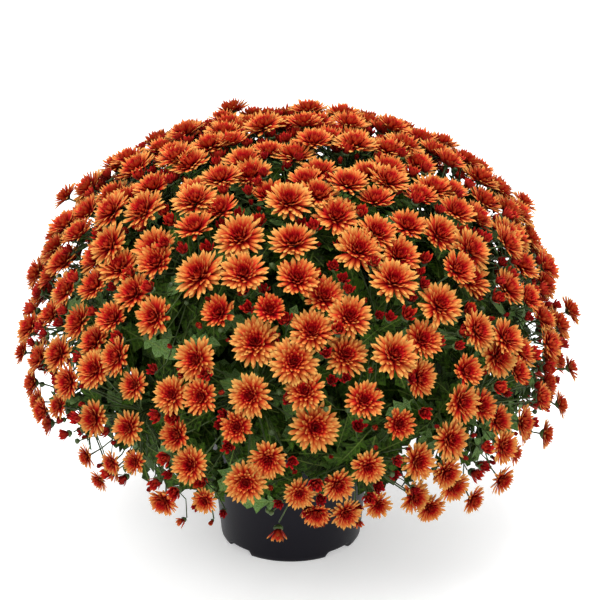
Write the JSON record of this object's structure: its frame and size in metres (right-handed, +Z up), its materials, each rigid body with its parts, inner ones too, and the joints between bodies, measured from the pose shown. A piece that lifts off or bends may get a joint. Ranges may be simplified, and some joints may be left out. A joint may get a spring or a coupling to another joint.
{
  "type": "pot chrysanthemum",
  "caption": "Potted chrysanthemum: a broad dome of orange double blooms over dark lobed leaves, in a black round nursery pot.",
  "frame": {"origin": "middle of the underside of the pot's base, on the surface that it stands on", "axes": "+Z up along the pot's axis, -Y towards the front that the picture shows, +X to its right"},
  "size_m": [0.6134, 0.6065, 0.4882],
  "materials": {
    "pot": "satin",
    "soil": "matte",
    "petal": "matte",
    "leaf": "satin"
  },
  "bodies": {
    "root": {"pot": "pot", "soil": "soil", "spray_01": "petal", "spray_02": "petal", "spray_03": "petal", "spray_04": "petal", "spray_05": "petal", "spray_06": "petal", "spray_07": "petal", "spray_08": "petal", "spray_09": "petal", "spray_10": "petal", "spray_11": "petal", "spray_12": "petal", "spray_13": "petal", "spray_14": "petal", "spray_15": "petal", "spray_16": "petal", "spray_17": "petal", "spray_18": "petal", "spray_19": "petal", "spray_20": "petal", "spray_21": "petal", "spray_22": "petal", "spray_23": "petal", "spray_24": "petal", "spray_25": "petal", "spray_26": "petal", "leafy_stem_01": "leaf", "leafy_stem_02": "leaf", "leafy_stem_03": "leaf", "leafy_stem_04": "leaf", "leafy_stem_05": "leaf", "leafy_stem_06": "leaf", "leafy_stem_07": "leaf", "leafy_stem_08": "leaf", "leafy_stem_09": "leaf", "leafy_stem_10": "leaf", "leafy_stem_11": "leaf", "leafy_stem_12": "leaf", "leafy_stem_13": "leaf", "leafy_stem_14": "leaf", "leafy_stem_15": "leaf", "leafy_stem_16": "leaf", "leafy_stem_17": "leaf", "leafy_stem_18": "leaf", "leafy_stem_19": "leaf", "leafy_stem_20": "leaf", "leafy_stem_21": "leaf", "leafy_stem_22": "leaf", "leafy_stem_23": "leaf", "leafy_stem_24": "leaf", "leafy_stem_25": "leaf", "leafy_stem_26": "leaf"}
  },
  "joints": []
}
